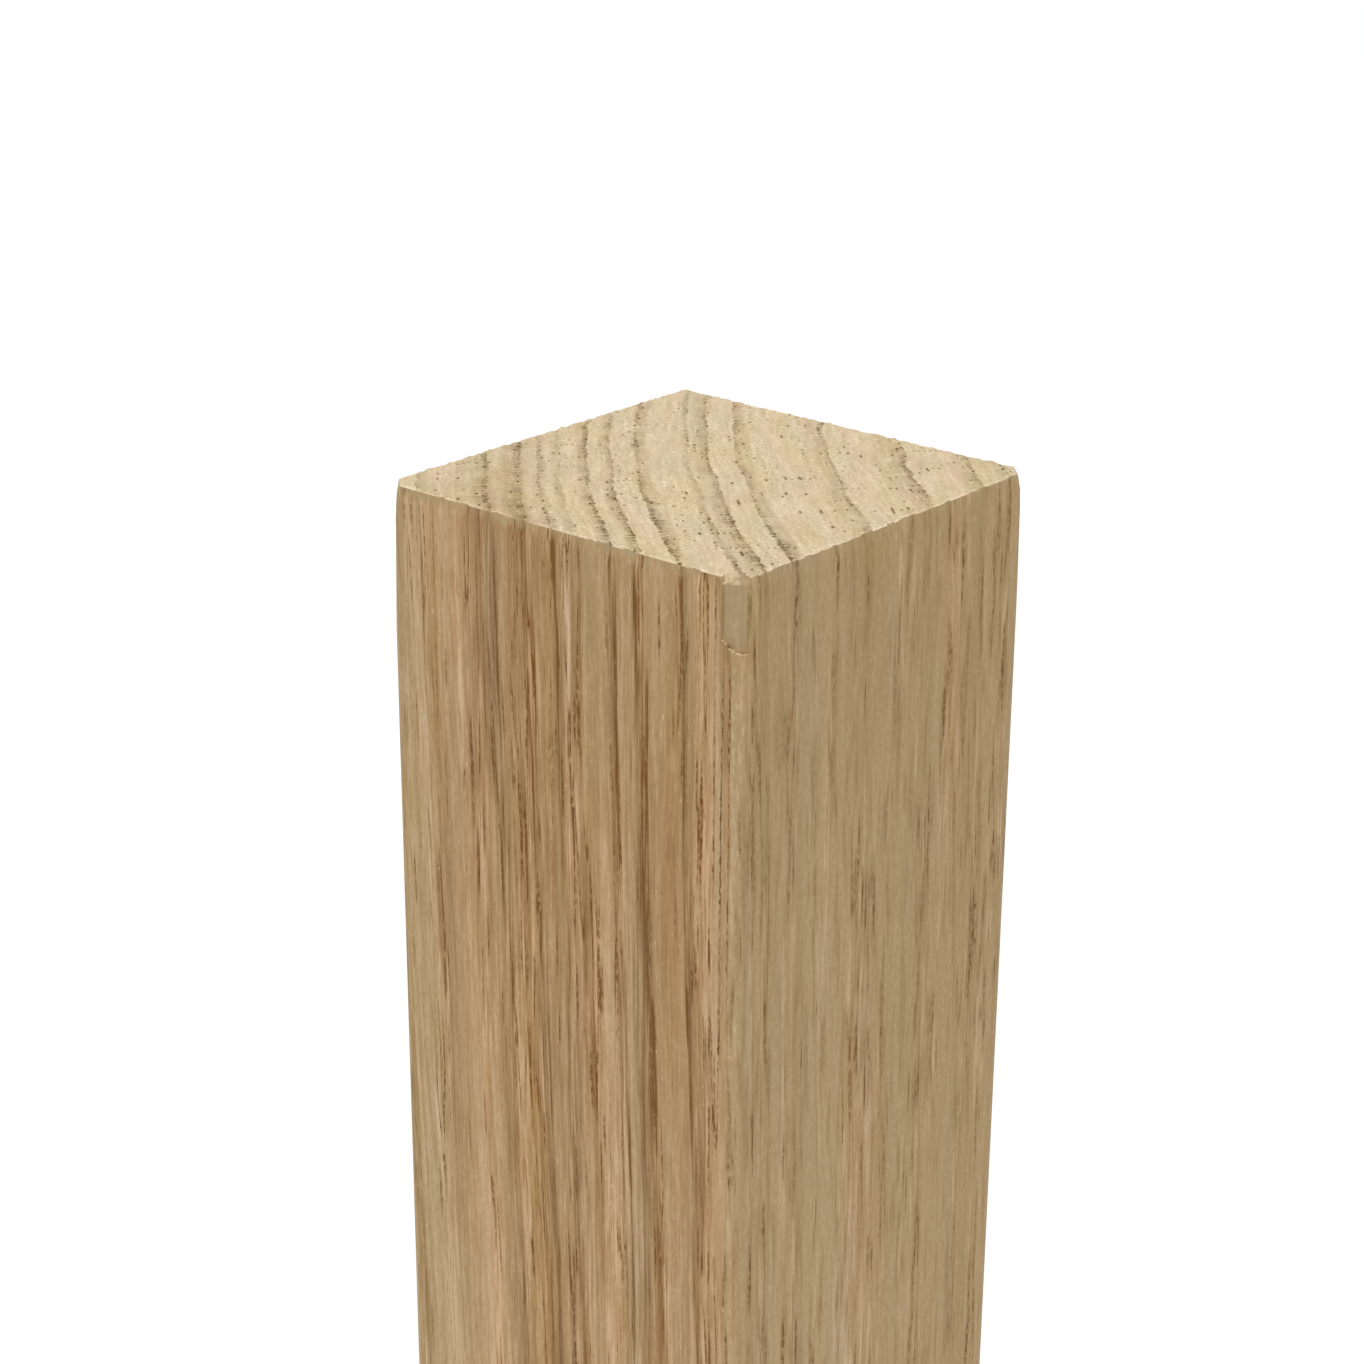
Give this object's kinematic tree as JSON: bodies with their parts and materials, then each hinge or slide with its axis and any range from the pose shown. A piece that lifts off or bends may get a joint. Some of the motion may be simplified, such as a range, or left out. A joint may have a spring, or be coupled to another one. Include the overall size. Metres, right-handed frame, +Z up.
{
  "type": "stair baluster",
  "caption": "Plain square hardwood stair baluster with eased long edges and square-cut ends, made to stand between a base rail or tread and a handrail.",
  "frame": {"origin": "Middle of the foot, on the plane of the lower square-cut end.", "axes": "+Z runs up the baluster along its length. The four planed faces look along +X, -X, +Y and -Y. The two faces seen in the picture are -Y and +X, and the small flake is on the arris between them at the top end."},
  "size_m": [0.032, 0.032, 0.9],
  "materials": {
    "hardwood": "planed and unfinished along the grain, sawn and paler across the ends"
  },
  "bodies": {
    "root": {"baluster": "hardwood"}
  },
  "joints": []
}
